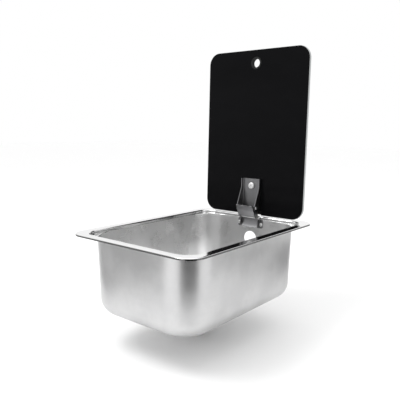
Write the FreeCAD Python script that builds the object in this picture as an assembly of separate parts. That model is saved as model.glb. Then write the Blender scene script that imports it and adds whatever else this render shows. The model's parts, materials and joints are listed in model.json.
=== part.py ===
"""Built-in camper sink: a drawn stainless basin, a black glass lid on a knee hinge, and a strainer waste.

Millimetres. The origin is the middle of the worktop cut-out on the worktop's surface, +Z up, +Y towards the hinge.
The lid is modelled standing open.
"""
import FreeCAD
import Part
import math
import os

V = FreeCAD.Vector
X_AXIS = V(1, 0, 0)
Y_AXIS = V(0, 1, 0)
Z_AXIS = V(0, 0, 1)

# basin
FLANGE_WIDTH = 280.0          # across, X
FLANGE_LENGTH = 380.0         # front to back, Y
FLANGE_CORNER = 30.0          # plan radius of the flange
RIM_HEIGHT = 3.5              # flange top above the worktop
RIM_ROUND = 2.0               # outside radius where the flange turns down
LIP_CLEAR = 0.3               # lip's lower edge above the worktop
SHEET = 0.8                   # stainless sheet
BOWL_INSET = 17.0             # bowl's outer wall in from the flange's edge
BOWL_CORNER = 63.0            # plan radius of the bowl's outer wall at the top
SEAT_DEPTH = 6.5              # corner seats below the flange top
SEAT_CORNER = 28.0            # plan radius of the opening above the seats
SEAT_STEP = 0.4               # opening's wall out from the bowl's wall
BOWL_DEPTH = 145.0            # flange top to the underside of the floor
BOWL_DRAFT = 2.0              # degrees
MOUTH_ROUND = 3.0             # radius from flange to the opening's wall
BOTTOM_ROUND = 30.0           # outside radius from wall to floor
OVERFLOW_BORE = 30.0
OVERFLOW_DROP = 49.0          # its centre below the flange top
PLATE_OVERLAP = 2.0           # flat run kept beside each rounded edge

# foam strip between flange and worktop
SEAL_WIDTH = 4.0
SEAL_CLEAR = 0.4              # beside the rim's round

# silicone rests on the corner seats
PAD_RADIUS = 4.0
PAD_HEIGHT = 1.3
PAD_ROUND = 0.5
PAD_INSET = 30.8              # pad centre in from both flange edges
PAD_CLEAR = 0.1               # lid underside above the pads when shut

# glass lid
LID_SIDE_MARGIN = 20.0        # flange edge to lid edge at the sides, shut
LID_END_MARGIN = 20.5         # the same at the ends
LID_THICK = 5.0
LID_CORNER = 25.0
LID_ARRIS = 0.6               # ground edge
LID_TILT = 1.0                # leans back by this past upright, degrees
LID_OPEN_INSET = 17.4         # front face in from the flange's back edge when open
LID_OPEN_GAP = 2.0            # lower edge above the flange when open
LID_SHUT_FORWARD = 0.2        # lid's middle ahead of the basin's middle when shut
NOTCH_DEPTH = 10.5            # cut-out for the hinge in the lid's lower edge
NOTCH_CORNER = 3.0
NOTCH_CLEAR = 0.6             # beside the wall pin's heads
COVER_RISE = 1.4              # room under the cut-out's cover, over the wall pivot when shut
COVER_WALL = 1.2
COVER_LAND = 5.0              # cover past the cut-out
COVER_CORNER = 4.0
COVER_ROUND = 0.8
FINGER_DROP = 27.0            # finger hole's centre below the lid's top edge
FINGER_BORE = 17.5
RING_FLANGE = 25.0            # finger ring's outside diameter
RING_LAND = 1.2               # its flange thickness on each face
RING_NECK = 1.75              # wall of the ring inside the glass
RING_CLEAR = 0.1

# hinge, common
HINGE_SHEET = 1.5
LINK_WIDTH = 40.0             # outside width of the link
SIDE_CLEAR = 0.7              # room for a washer between link and cheek
PIN_RADIUS = 2.0
PIN_CLEAR = 0.05
PIN_HEAD_RADIUS = 3.0
PIN_HEAD = 1.6
PIN_PLAY = 0.1                # under each pin head
WASHER_RADIUS = 3.2
WASHER_THICK = 0.5
EYE_RADIUS = 3.1              # metal round the wall pivot

# lid bracket, measured up the lid from its lower edge and out from the glass
KNEE_UP = 17.0
KNEE_OUT = 17.5
KNEE_RADIUS = 6.0             # round nose of the cheeks
PLATE_LOW = 13.0              # lower edge of the bracket's plate, clear of the folded link
BRACKET_TOP = 76.0
CHEEK_STRAIGHT = 57.0         # above this the cheeks are shallow
CHEEK_SHALLOW = 8.0
GASKET_THICK = 0.8
BEND_ROUND = 1.0              # inside bend radius
SCREW_UP = 61.0
SCREW_RADIUS = 2.5
SCREW_HEAD_RADIUS = 7.0
SCREW_HEAD = 3.2
SCREW_CLEAR = 0.2
SLEEVE_WALL = 2.0
BACK_WASHER_RADIUS = 9.0
BACK_WASHER = 1.5
CAP_NUT_ACROSS = 8.0
CAP_NUT_HEIGHT = 3.5

# link
PIVOT_REACH = 8.0             # wall pivot ahead of the lid's turning centre
LINK_NOSE = 5.5               # metal round the knee pin
WEB_OUT = 9.0                 # front plate out from the line of the pins
WEB_START = 6.8               # along the line of the pins, from the wall pivot
WEB_BEND = 24.0
WEB_END = 34.0
WEB_END_OUT = 8.0
WEB_ROUND = 12.0

# wall bracket, measured down the back wall from the flange top
BASE_TOP = 6.0
BASE_BOTTOM = 25.0
BASE_CORNER = 4.0
WALL_CHEEK_FRONT = 8.0        # foot of the cheeks out from the wall
APRON_TOP = 13.0
APRON_OUT = 5.0
WALL_HEAD_ROOM = 0.5          # between a cheek and a screw head
TAB_EDGE = 0.2                # base end past a screw head
WALL_SCREW_DROP = 17.0
WALL_SCREW_RADIUS = 2.0
WALL_HEAD_RADIUS = 3.8
WALL_HEAD = 2.2
WALL_SCREW_PAST = 1.0         # screw end past its nut
WALL_NUT_ACROSS = 7.0
WALL_NUT = 3.2
BACK_PLATE = 1.2
BACK_PLATE_HALF_HEIGHT = 7.0

# strainer waste
DRAIN_RADIUS = 30.0           # hole in the floor, which the strainer and the waste follow
SUMP_DEPTH = 4.0
SUMP_SLOPE = 5.0              # run of its sloped side
SUMP_ROUND = 2.0
SUMP_EDGE = 4.0               # flat of the recess past the strainer
STRAINER_SEAL = 8.0           # strainer flange past the hole
STRAINER_ROOM = 3.0           # between the strainer's cup and the hole
STRAINER_TAPER = 4.0          # cup narrower at its floor
STRAINER_SHEET = 1.2
STRAINER_DROP = 9.0
STRAINER_HOLE_RADIUS = 2.2
STRAINER_HOLE_EDGE = 6.0      # outer ring of holes in from the cup floor's edge
STRAINER_HEAD_ROOM = 0.8      # between the screw head and the inner ring of holes
STRAINER_INNER_HOLES = 6
STRAINER_OUTER_HOLES = 12
TOP_GASKET = 1.0
LOW_GASKET = 1.5
WASTE_SEAL = 9.0              # waste flange past the hole
WASTE_ROOM = 3.0              # waste cup wider than the hole
WASTE_FLANGE = 3.0
WASTE_WALL = 2.5
WASTE_CUP_DEPTH = 20.0
WASTE_CONE = 7.0
WASTE_PIPE_RADIUS = 12.5
WASTE_PIPE_WALL = 2.0
WASTE_PIPE = 26.0
BOSS_RADIUS = 5.5
BOSS_HEIGHT = 9.0
ARM_WIDTH = 4.0
WASTE_SCREW_RADIUS = 3.0
WASTE_HEAD_RADIUS = 6.5
WASTE_HEAD = 2.5
WASTE_SCREW_PAST = 1.0

# values that follow from the sizes above
DRAFT = math.radians(BOWL_DRAFT)
STRAINER_RADIUS = DRAIN_RADIUS + STRAINER_SEAL
SUMP_RADIUS = STRAINER_RADIUS + SUMP_EDGE
STRAINER_CUP_RADIUS = DRAIN_RADIUS - STRAINER_ROOM
STRAINER_CUP_FLOOR = STRAINER_CUP_RADIUS - STRAINER_TAPER
STRAINER_INNER_RING = WASTE_HEAD_RADIUS + STRAINER_HEAD_ROOM + STRAINER_HOLE_RADIUS
STRAINER_OUTER_RING = STRAINER_CUP_FLOOR - STRAINER_HOLE_EDGE
WASTE_FLANGE_RADIUS = DRAIN_RADIUS + WASTE_SEAL
WASTE_CUP_RADIUS = DRAIN_RADIUS + WASTE_ROOM
TILT = math.radians(LID_TILT)
HALF_W = FLANGE_WIDTH / 2
HALF_L = FLANGE_LENGTH / 2
LID_WIDTH = FLANGE_WIDTH - 2 * LID_SIDE_MARGIN
LID_LENGTH = FLANGE_LENGTH - 2 * LID_END_MARGIN
WALL_X = HALF_W - BOWL_INSET - SHEET
WALL_Y = HALF_L - BOWL_INSET - SHEET
INNER_CORNER = BOWL_CORNER - SHEET
MOUTH_X = WALL_X + SEAT_STEP
MOUTH_Y = WALL_Y + SEAT_STEP
SEAT_TOP = RIM_HEIGHT - SEAT_DEPTH
FLOOR_TOP = RIM_HEIGHT - BOWL_DEPTH + SHEET
CHEEK_IN = LINK_WIDTH / 2 + SIDE_CLEAR
WALL_SCREW_SPAN = 2 * (CHEEK_IN + HINGE_SHEET + WALL_HEAD_ROOM + WALL_HEAD_RADIUS)
BASE_HALF_WIDTH = WALL_SCREW_SPAN / 2 + WALL_HEAD_RADIUS + TAB_EDGE
CHEEK_OUT = CHEEK_IN + HINGE_SHEET
NOTCH_HALF = CHEEK_OUT + PIN_PLAY + PIN_HEAD + NOTCH_CLEAR


def line(a, b):
    return Part.LineSegment(a, b).toShape()


def rounded_chain(points, radii):
    """Edges along an open polyline, with each inner corner rounded to its radius."""
    edges = []
    start = points[0]
    for before, corner, after, radius in zip(points, points[1:], points[2:], radii):
        back = (before - corner).normalize()
        ahead = (after - corner).normalize()
        half = back.getAngle(ahead) / 2
        first = corner + back * (radius / math.tan(half))
        last = corner + ahead * (radius / math.tan(half))
        middle = corner + (back + ahead).normalize() * (radius / math.sin(half) - radius)
        edges.append(line(start, first))
        edges.append(Part.Arc(first, middle, last).toShape())
        start = last
    edges.append(line(start, points[-1]))
    return edges


def closed_face(edges):
    return Part.Face(Part.Wire(Part.__sortEdges__(edges)))


def strip_face(upper, upper_radii, lower, lower_radii):
    """The face between two rounded polylines whose ends are joined by straight lines."""
    edges = rounded_chain(upper, upper_radii)
    edges += rounded_chain(lower, lower_radii)
    edges.append(line(upper[0], lower[0]))
    edges.append(line(upper[-1], lower[-1]))
    return closed_face(edges)


def rounded_rectangle(half_x, half_y, radius, z):
    """A face in a level plane with four round corners."""
    box = Part.makeBox(2 * half_x, 2 * half_y, 1, V(-half_x, -half_y, z))
    upright = [e for e in box.Edges if abs(e.tangentAt(e.FirstParameter).z) > 0.9]
    box = box.makeFillet(radius, upright)
    return [f for f in box.Faces if f.BoundBox.ZMax < z + 1e-6][0]


def ring(half_x, half_y, radius, face):
    """A section carried round a rounded rectangle. The section's x is measured outwards from that line."""
    solids = []
    corner = face.translated(V(radius, 0, 0)).revolve(V(0, 0, 0), Z_AXIS, 90)
    for turn, sx, sy in ((0, 1, 1), (90, -1, 1), (180, -1, -1), (270, 1, -1)):
        piece = corner.copy()
        piece.rotate(V(0, 0, 0), Z_AXIS, turn)
        piece.translate(V(sx * (half_x - radius), sy * (half_y - radius), 0))
        solids.append(piece)
    for turn, reach, run in ((0, half_x, half_y), (90, half_y, half_x), (180, half_x, half_y), (270, half_y, half_x)):
        straight = 2 * (run - radius)
        piece = face.translated(V(reach, -straight / 2, 0)).extrude(V(0, straight, 0))
        piece.rotate(V(0, 0, 0), Z_AXIS, turn)
        solids.append(piece)
    return solids


def one_solid(pieces):
    joined = pieces[0].multiFuse(pieces[1:]).removeSplitter()
    return joined.Solids[0]


def revolved(points):
    """A turned solid from an outline given as (radius, height)."""
    corners = [V(r, 0, z) for r, z in points]
    wire = Part.makePolygon(corners + corners[:1])
    return Part.Face(wire).revolve(V(0, 0, 0), Z_AXIS, 360)


def side_prism(points, x0, x1):
    """A flat outline in y and z, carried along X."""
    corners = [V(x0, y, z) for y, z in points]
    wire = Part.makePolygon(corners + corners[:1])
    return Part.Face(wire).extrude(V(x1 - x0, 0, 0))


def rod(radius, start, run):
    return Part.makeCylinder(radius, run.Length, start, run)


def hexagon(across, start, run):
    """A nut's blank: six sides, with its axis along the run."""
    reach = across / math.sqrt(3)
    corners = [V(reach * math.cos(math.radians(60 * i)), reach * math.sin(math.radians(60 * i)), 0) for i in range(6)]
    blank = Part.Face(Part.makePolygon(corners + corners[:1])).extrude(V(0, 0, run.Length))
    blank.Placement = FreeCAD.Placement(start, FreeCAD.Rotation(Z_AXIS, run))
    return blank


def tangent_point(centre, radius, outside, side):
    """Where a line from an outside point touches a circle; side +1 or -1 picks which one. Points are (y, z)."""
    dy = outside[0] - centre[0]
    dz = outside[1] - centre[1]
    angle = math.atan2(dz, dy) + side * math.acos(radius / math.hypot(dy, dz))
    return centre[0] + radius * math.cos(angle), centre[1] + radius * math.sin(angle)


def arc_points(centre, radius, first, last, steps):
    """Points on a circle from one angle to another, in degrees."""
    out = []
    for i in range(steps + 1):
        a = math.radians(first + (last - first) * i / steps)
        out.append((centre[0] + radius * math.cos(a), centre[1] + radius * math.sin(a)))
    return out


def edges_along_z(shape, x, y):
    found = []
    for e in shape.Edges:
        m = e.CenterOfMass
        if e.BoundBox.XLength < 1e-6 and e.BoundBox.YLength < 1e-6 and abs(m.x - x) < 1e-4 and abs(m.y - y) < 1e-4:
            found.append(e)
    return found


def wall_offset(z):
    """How far the bowl's inner wall has come in at a height, from its place at the flange top."""
    return (RIM_HEIGHT - z) * math.tan(DRAFT)


def wall_frame(shape):
    """Puts a shape drawn on a flat upright wall onto the back wall: its origin goes to the flange top."""
    placed = shape.copy()
    placed.rotate(V(0, 0, 0), X_AXIS, -BOWL_DRAFT)
    placed.translate(V(0, WALL_Y, RIM_HEIGHT))
    return placed


def to_wall(point):
    """The same step backwards for a point given as (y, z)."""
    y = point[0] - WALL_Y
    z = point[1] - RIM_HEIGHT
    return y * math.cos(DRAFT) - z * math.sin(DRAFT), y * math.sin(DRAFT) + z * math.cos(DRAFT)


# the lid's lower front edge, open and shut, in the side plane (y, z)
OPEN_EDGE = (HALF_L - LID_OPEN_INSET, RIM_HEIGHT + LID_OPEN_GAP)
SHUT_EDGE = (LID_LENGTH / 2 - LID_SHUT_FORWARD, SEAT_TOP + PAD_HEIGHT + PAD_CLEAR)
LID_TURN = math.radians(90 + LID_TILT)


def lid_frame(shape):
    """Puts a shape drawn on an upright lid, with its lower front edge on the origin, into the open place."""
    placed = shape.copy()
    placed.rotate(V(0, 0, 0), X_AXIS, -LID_TILT)
    placed.translate(V(0, OPEN_EDGE[0], OPEN_EDGE[1]))
    return placed


def turned(point, centre, angle):
    y = point[0] - centre[0]
    z = point[1] - centre[1]
    c = math.cos(angle)
    s = math.sin(angle)
    return centre[0] + c * y - s * z, centre[1] + s * y + c * z


def knee_points():
    """Knee pin, wall pivot and the link's turn.

    The lid goes from open to shut by one turn about a centre. The wall pivot lies on the line through that centre
    that halves the knee pin's path, so the link's length is the same at both ends.
    """
    knee = turned((OPEN_EDGE[0] - KNEE_OUT, OPEN_EDGE[1] + KNEE_UP), OPEN_EDGE, -TILT)
    dy = SHUT_EDGE[0] - OPEN_EDGE[0]
    dz = SHUT_EDGE[1] - OPEN_EDGE[1]
    lift = 0.5 / math.tan(LID_TURN / 2)
    centre = ((OPEN_EDGE[0] + SHUT_EDGE[0]) / 2 - lift * dz, (OPEN_EDGE[1] + SHUT_EDGE[1]) / 2 + lift * dy)
    shut_knee = turned(knee, centre, LID_TURN)
    my = (knee[0] + shut_knee[0]) / 2 - centre[0]
    mz = (knee[1] + shut_knee[1]) / 2 - centre[1]
    reach = PIVOT_REACH / math.hypot(my, mz)
    pivot = (centre[0] + my * reach, centre[1] + mz * reach)
    first = math.atan2(knee[1] - pivot[1], knee[0] - pivot[0])
    last = math.atan2(shut_knee[1] - pivot[1], shut_knee[0] - pivot[0])
    return knee, pivot, first, (last - first) % (2 * math.pi)


KNEE, PIVOT, LINK_LEAN, LINK_TURN = knee_points()


def mouth_section():
    """The sheet's section from flange to seat level, x measured outwards from the opening's wall at the flange top."""
    lean = math.tan(DRAFT)
    outside = SHEET / math.cos(DRAFT)
    flat_end = MOUTH_ROUND + SHEET
    drop = SEAT_DEPTH + SHEET
    inner = [V(flat_end, 0, RIM_HEIGHT), V(0, 0, RIM_HEIGHT), V(-drop * lean, 0, RIM_HEIGHT - drop)]
    outer = [
        V(flat_end, 0, RIM_HEIGHT - SHEET),
        V(outside - SHEET * lean, 0, RIM_HEIGHT - SHEET),
        V(outside - drop * lean, 0, RIM_HEIGHT - drop),
    ]
    return strip_face(inner, (MOUTH_ROUND,), outer, (MOUTH_ROUND - SHEET,)), flat_end


def bowl_section():
    """The sheet's section from seat level to floor, x measured outwards from the bowl's inner wall at the flange top."""
    lean = math.tan(DRAFT)
    outside = SHEET / math.cos(DRAFT)
    floor_end = -BOWL_DEPTH * lean - BOTTOM_ROUND - PLATE_OVERLAP
    low = RIM_HEIGHT - BOWL_DEPTH
    inner = [
        V(-SEAT_DEPTH * lean, 0, SEAT_TOP),
        V(-(BOWL_DEPTH - SHEET) * lean, 0, low + SHEET),
        V(floor_end, 0, low + SHEET),
    ]
    outer = [
        V(outside - SEAT_DEPTH * lean, 0, SEAT_TOP),
        V(outside - BOWL_DEPTH * lean, 0, low),
        V(floor_end, 0, low),
    ]
    return strip_face(inner, (BOTTOM_ROUND - SHEET,), outer, (BOTTOM_ROUND,)), floor_end


def corner_seats():
    """A thin level band at seat depth that widens into a seat in each corner; its edges end inside both walls."""
    middle = SHEET / 2 - SEAT_DEPTH * math.tan(DRAFT)
    up = V(0, 0, SHEET)
    wide = rounded_rectangle(MOUTH_X + middle, MOUTH_Y + middle, SEAT_CORNER + middle, SEAT_TOP - SHEET)
    bowl = rounded_rectangle(WALL_X + middle, WALL_Y + middle, INNER_CORNER + middle, SEAT_TOP - SHEET)
    return wide.extrude(up).cut(bowl.extrude(up))


def rim_section():
    """The flange's edge turned down to the worktop, x measured from the flange's outer edge."""
    flat_end = -RIM_ROUND - PLATE_OVERLAP
    upper = [V(flat_end, 0, RIM_HEIGHT), V(0, 0, RIM_HEIGHT), V(0, 0, LIP_CLEAR)]
    lower = [V(flat_end, 0, RIM_HEIGHT - SHEET), V(-SHEET, 0, RIM_HEIGHT - SHEET), V(-SHEET, 0, LIP_CLEAR)]
    return strip_face(upper, (RIM_ROUND,), lower, (RIM_ROUND - SHEET,)), flat_end


def sump():
    """The recess pressed into the floor round the drain hole."""
    top = SUMP_RADIUS + SUMP_SLOPE + SUMP_ROUND
    low = FLOOR_TOP - SUMP_DEPTH
    upper = [
        V(top, 0, FLOOR_TOP),
        V(SUMP_RADIUS + SUMP_SLOPE, 0, FLOOR_TOP),
        V(SUMP_RADIUS, 0, low),
        V(DRAIN_RADIUS, 0, low),
    ]
    lower = [p - V(0, 0, SHEET) for p in upper]
    face = strip_face(upper, (SUMP_ROUND, SUMP_ROUND), lower, (SUMP_ROUND, SUMP_ROUND))
    return face.revolve(V(0, 0, 0), Z_AXIS, 360), top


def basin():
    section, floor_end = bowl_section()
    opening, mouth_end = mouth_section()
    rim, rim_end = rim_section()
    bowl = ring(WALL_X, WALL_Y, INNER_CORNER, section) + ring(MOUTH_X, MOUTH_Y, SEAT_CORNER, opening)
    edge = ring(HALF_W, HALF_L, FLANGE_CORNER, rim)
    plate = rounded_rectangle(HALF_W + rim_end, HALF_L + rim_end, FLANGE_CORNER + rim_end, RIM_HEIGHT - SHEET)
    mouth = rounded_rectangle(MOUTH_X + mouth_end, MOUTH_Y + mouth_end, SEAT_CORNER + mouth_end, RIM_HEIGHT - SHEET)
    up = V(0, 0, SHEET)
    flange = plate.extrude(up).cut(mouth.extrude(up))
    dish, dish_top = sump()
    floor = rounded_rectangle(WALL_X + floor_end, WALL_Y + floor_end, INNER_CORNER + floor_end, FLOOR_TOP - SHEET)
    floor = floor.extrude(up).cut(Part.makeCylinder(dish_top, SHEET, V(0, 0, FLOOR_TOP - SHEET)))
    whole = one_solid(bowl + edge + [flange, corner_seats(), floor, dish])
    through = V(0, 4 * SHEET, 0)
    bores = [rod(OVERFLOW_BORE / 2, V(0, -2 * SHEET, -OVERFLOW_DROP), through)]
    for side in (-1, 1):
        place = V(side * WALL_SCREW_SPAN / 2, -2 * SHEET, -WALL_SCREW_DROP)
        bores.append(rod(WALL_SCREW_RADIUS + SCREW_CLEAR, place, through))
    return whole.cut([wall_frame(b) for b in bores]).Solids[0]


def rim_seal():
    outer = RIM_ROUND + SEAL_CLEAR
    inner = outer + SEAL_WIDTH
    height = V(0, 0, RIM_HEIGHT - SHEET)
    wide = rounded_rectangle(HALF_W - outer, HALF_L - outer, FLANGE_CORNER - outer, 0).extrude(height)
    return wide.cut(rounded_rectangle(HALF_W - inner, HALF_L - inner, FLANGE_CORNER - inner, 0).extrude(height))


def corner_pad(sx, sy):
    centre = V(sx * (HALF_W - PAD_INSET), sy * (HALF_L - PAD_INSET), SEAT_TOP)
    pad = Part.makeCylinder(PAD_RADIUS, PAD_HEIGHT, centre)
    top = [e for e in pad.Edges if e.BoundBox.ZMin > SEAT_TOP + PAD_HEIGHT - 1e-6]
    return pad.makeFillet(PAD_ROUND, top)


def lid_glass():
    """The lid's sheet with ground edges, a finger hole, a screw hole and a cut-out for the hinge in its lower edge."""
    sheet = rounded_rectangle(LID_WIDTH / 2, LID_LENGTH / 2, LID_CORNER, 0).extrude(V(0, 0, LID_THICK))
    rims = []
    for e in sheet.Edges:
        if e.BoundBox.ZLength < 1e-6:
            rims.append(e)
    sheet = sheet.makeChamfer(LID_ARRIS, rims)
    sheet.rotate(V(0, 0, 0), X_AXIS, 90)
    sheet.translate(V(0, LID_THICK, LID_LENGTH / 2))
    back = V(0, LID_THICK, 0)
    finger = rod(FINGER_BORE / 2 + RING_NECK + RING_CLEAR, V(0, 0, LID_LENGTH - FINGER_DROP), back)
    screw = rod(SCREW_RADIUS + SCREW_CLEAR + SLEEVE_WALL + RING_CLEAR, V(0, 0, SCREW_UP), back)
    notch = Part.makeBox(2 * NOTCH_HALF, LID_THICK, 2 * NOTCH_DEPTH, V(-NOTCH_HALF, 0, -NOTCH_DEPTH))
    corners = [e for e in notch.Edges if e.BoundBox.YLength > LID_THICK / 2 and e.CenterOfMass.z > 0]
    notch = notch.makeFillet(NOTCH_CORNER, corners)
    return lid_frame(sheet.cut([finger, screw, notch]).Solids[0])


def hinge_cover():
    """A moulded cap on the back of the glass over the hinge cut-out, hollow and open at its lower end."""
    half = NOTCH_HALF + COVER_LAND
    top = NOTCH_DEPTH + COVER_LAND
    cap = Part.makeBox(2 * half, COVER_RISE + COVER_WALL, top - LID_ARRIS, V(-half, LID_THICK, LID_ARRIS))
    corners = [e for e in cap.Edges if e.BoundBox.YLength > COVER_RISE and e.CenterOfMass.z > top / 2]
    cap = cap.makeFillet(COVER_CORNER, corners)
    outer = [e for e in cap.Edges if e.BoundBox.YMin > LID_THICK + COVER_RISE and e.BoundBox.ZMax > top / 2]
    cap = cap.makeFillet(COVER_ROUND, outer)
    room = Part.makeBox(2 * NOTCH_HALF, COVER_RISE, NOTCH_DEPTH, V(-NOTCH_HALF, LID_THICK, 0))
    return lid_frame(cap.cut(room).Solids[0])


def finger_ring():
    """A moulded ring with a flange on each face of the glass."""
    bore = FINGER_BORE / 2
    neck = bore + RING_NECK
    flange = RING_FLANGE / 2
    half = RING_LAND / 2
    points = [
        (bore, -RING_LAND), (flange - half, -RING_LAND), (flange, -half), (flange, 0), (neck, 0), (neck, LID_THICK),
        (flange, LID_THICK), (flange, LID_THICK + half), (flange - half, LID_THICK + RING_LAND), (bore, LID_THICK + RING_LAND),
    ]
    moulded = revolved(points)
    moulded.rotate(V(0, 0, 0), X_AXIS, -90)
    moulded.translate(V(0, 0, LID_LENGTH - FINGER_DROP))
    return lid_frame(moulded)


def lid_bracket():
    """A folded channel: a plate on the glass and two cheeks that deepen towards the knee pin."""
    nose = (-KNEE_OUT, KNEE_UP)
    low = KNEE_UP - KNEE_RADIUS
    shoulder = (-CHEEK_SHALLOW, CHEEK_STRAIGHT)
    touch = tangent_point(nose, KNEE_RADIUS, shoulder, 1)
    touch_angle = math.degrees(math.atan2(touch[1] - nose[1], touch[0] - nose[0])) % 360
    outline = [(-GASKET_THICK, BRACKET_TOP), (-GASKET_THICK, low)]
    outline += arc_points(nose, KNEE_RADIUS, 270, touch_angle, 10)
    outline += [shoulder, (-CHEEK_SHALLOW, BRACKET_TOP)]
    block = side_prism(outline, -CHEEK_OUT, CHEEK_OUT)
    front = -GASKET_THICK - HINGE_SHEET
    deep = 2 * (KNEE_OUT + KNEE_RADIUS)
    room = Part.makeBox(2 * CHEEK_IN, deep, BRACKET_TOP, V(-CHEEK_IN, front - deep, low - 1))
    room = room.fuse(Part.makeBox(2 * CHEEK_IN, deep, BRACKET_TOP, V(-CHEEK_IN, front - deep, low))).removeSplitter()
    channel = block.cut(room).Solids[0]
    bends = edges_along_z(channel, CHEEK_IN, front) + edges_along_z(channel, -CHEEK_IN, front)
    channel = channel.makeFillet(BEND_ROUND, bends)
    bends = edges_along_z(channel, CHEEK_OUT, -GASKET_THICK) + edges_along_z(channel, -CHEEK_OUT, -GASKET_THICK)
    channel = channel.makeFillet(BEND_ROUND + HINGE_SHEET, bends)
    across = V(2 * CHEEK_OUT, 0, 0)
    pin = rod(PIN_RADIUS + PIN_CLEAR, V(-CHEEK_OUT, nose[0], nose[1]), across)
    screw = rod(SCREW_RADIUS + SCREW_CLEAR, V(0, front, SCREW_UP), V(0, HINGE_SHEET, 0))
    gap = Part.makeBox(2 * CHEEK_IN, 2 * HINGE_SHEET, PLATE_LOW - low + 1, V(-CHEEK_IN, front - HINGE_SHEET, low - 1))
    return lid_frame(channel.cut([pin, screw, gap]).Solids[0])


def lid_gasket():
    half = CHEEK_OUT - BEND_ROUND - HINGE_SHEET
    pad = Part.makeBox(2 * half, GASKET_THICK, BRACKET_TOP - PLATE_LOW, V(-half, -GASKET_THICK, PLATE_LOW))
    hole = rod(SCREW_RADIUS + SCREW_CLEAR, V(0, -GASKET_THICK, SCREW_UP), V(0, GASKET_THICK, 0))
    return lid_frame(pad.cut(hole).Solids[0])


def pan_head(radius, height, start, inward):
    """A screw head seated at a point, standing against the screw's direction, with a domed face."""
    back = inward * -height
    head = rod(radius, start, back)
    far = start + back
    rim = [e for e in head.Edges if (e.CenterOfMass - far).Length < 1e-6 and e.Closed]
    return head.makeFillet(0.6 * height, rim)


def lid_screw():
    seat = -GASKET_THICK - HINGE_SHEET
    end = LID_THICK + BACK_WASHER + CAP_NUT_HEIGHT
    start = V(0, seat, SCREW_UP)
    head = pan_head(SCREW_HEAD_RADIUS, SCREW_HEAD, start, Y_AXIS)
    return lid_frame(head.fuse(rod(SCREW_RADIUS, start, V(0, end - seat, 0))).removeSplitter().Solids[0])


def lid_sleeve():
    bore = SCREW_RADIUS + SCREW_CLEAR
    start = V(0, 0, SCREW_UP)
    run = V(0, LID_THICK, 0)
    return lid_frame(rod(bore + SLEEVE_WALL, start, run).cut(rod(bore, start, run)).Solids[0])


def lid_back_washer():
    start = V(0, LID_THICK, SCREW_UP)
    run = V(0, BACK_WASHER, 0)
    return lid_frame(rod(BACK_WASHER_RADIUS, start, run).cut(rod(SCREW_RADIUS + SCREW_CLEAR, start, run)).Solids[0])


def lid_cap_nut():
    """A hexagon with a domed cap over the screw's end."""
    start = V(0, LID_THICK + BACK_WASHER, SCREW_UP)
    run = V(0, CAP_NUT_HEIGHT, 0)
    ball = CAP_NUT_ACROSS / 2 - 0.2 * SCREW_RADIUS
    nut = hexagon(CAP_NUT_ACROSS, start, run)
    dome = Part.makeSphere(ball, start + run, Y_AXIS, 0, 90, 360)
    nut = nut.fuse(dome).removeSplitter()
    return lid_frame(nut.cut(rod(SCREW_RADIUS + PIN_CLEAR, start, run)).Solids[0])


def hinge_link():
    """A folded channel: two cheeks that carry both pins, and a bowed plate across their front."""
    half = LINK_WIDTH / 2
    span = math.hypot(KNEE[0] - PIVOT[0], KNEE[1] - PIVOT[1])
    foot = (WEB_START, WEB_OUT)
    low = tangent_point((0, 0), EYE_RADIUS, foot, 1)
    low_angle = math.degrees(math.atan2(low[1], low[0])) % 360
    flare = math.degrees(math.asin((LINK_NOSE - EYE_RADIUS) / span))
    flat = arc_points((0, 0), EYE_RADIUS, low_angle, 270 + flare, 8)
    flat += arc_points((span, 0), LINK_NOSE, -90 + flare, 20, 8)
    flat.append((WEB_END, WEB_END_OUT))
    bow = rounded_chain([V(WEB_END, WEB_END_OUT, 0), V(WEB_BEND, WEB_OUT, 0), V(foot[0], foot[1], 0)], (WEB_ROUND,))
    edges = bow + [line(V(a[0], a[1], 0), V(b[0], b[1], 0)) for a, b in zip([foot] + flat, flat)]
    cheek = closed_face(edges)
    lean_in = (V(WEB_BEND, WEB_OUT, 0) - V(WEB_END, WEB_END_OUT, 0)).normalize()
    inward = V(-lean_in.y, lean_in.x, 0)
    turn = lean_in.getAngle(V(-1, 0, 0))
    bend_in = V(WEB_BEND - HINGE_SHEET * math.tan(turn / 2), WEB_OUT - HINGE_SHEET, 0)
    plate = strip_face(
        [V(WEB_END, WEB_END_OUT, 0), V(WEB_BEND, WEB_OUT, 0), V(foot[0], foot[1], 0)], (WEB_ROUND,),
        [V(WEB_END, WEB_END_OUT, 0) + inward * HINGE_SHEET, bend_in, V(foot[0], foot[1] - HINGE_SHEET, 0)],
        (WEB_ROUND - HINGE_SHEET,))
    pieces = [
        cheek.translated(V(0, 0, half - HINGE_SHEET)).extrude(V(0, 0, HINGE_SHEET)),
        cheek.translated(V(0, 0, -half)).extrude(V(0, 0, HINGE_SHEET)),
        plate.translated(V(0, 0, -half)).extrude(V(0, 0, 2 * half)),
    ]
    channel = one_solid(pieces)
    bores = []
    for along in (0, span):
        bores.append(Part.makeCylinder(PIN_RADIUS + PIN_CLEAR, 2 * half, V(along, 0, -half)))
    channel = channel.cut(bores).Solids[0]
    along_axis = V(0, math.cos(LINK_LEAN), math.sin(LINK_LEAN))
    out_axis = V(0, -math.sin(LINK_LEAN), math.cos(LINK_LEAN))
    matrix = FreeCAD.Matrix(
        along_axis.x, out_axis.x, 1, 0,
        along_axis.y, out_axis.y, 0, PIVOT[0],
        along_axis.z, out_axis.z, 0, PIVOT[1],
        0, 0, 0, 1)
    channel.Placement = FreeCAD.Placement(matrix)
    return channel


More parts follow.
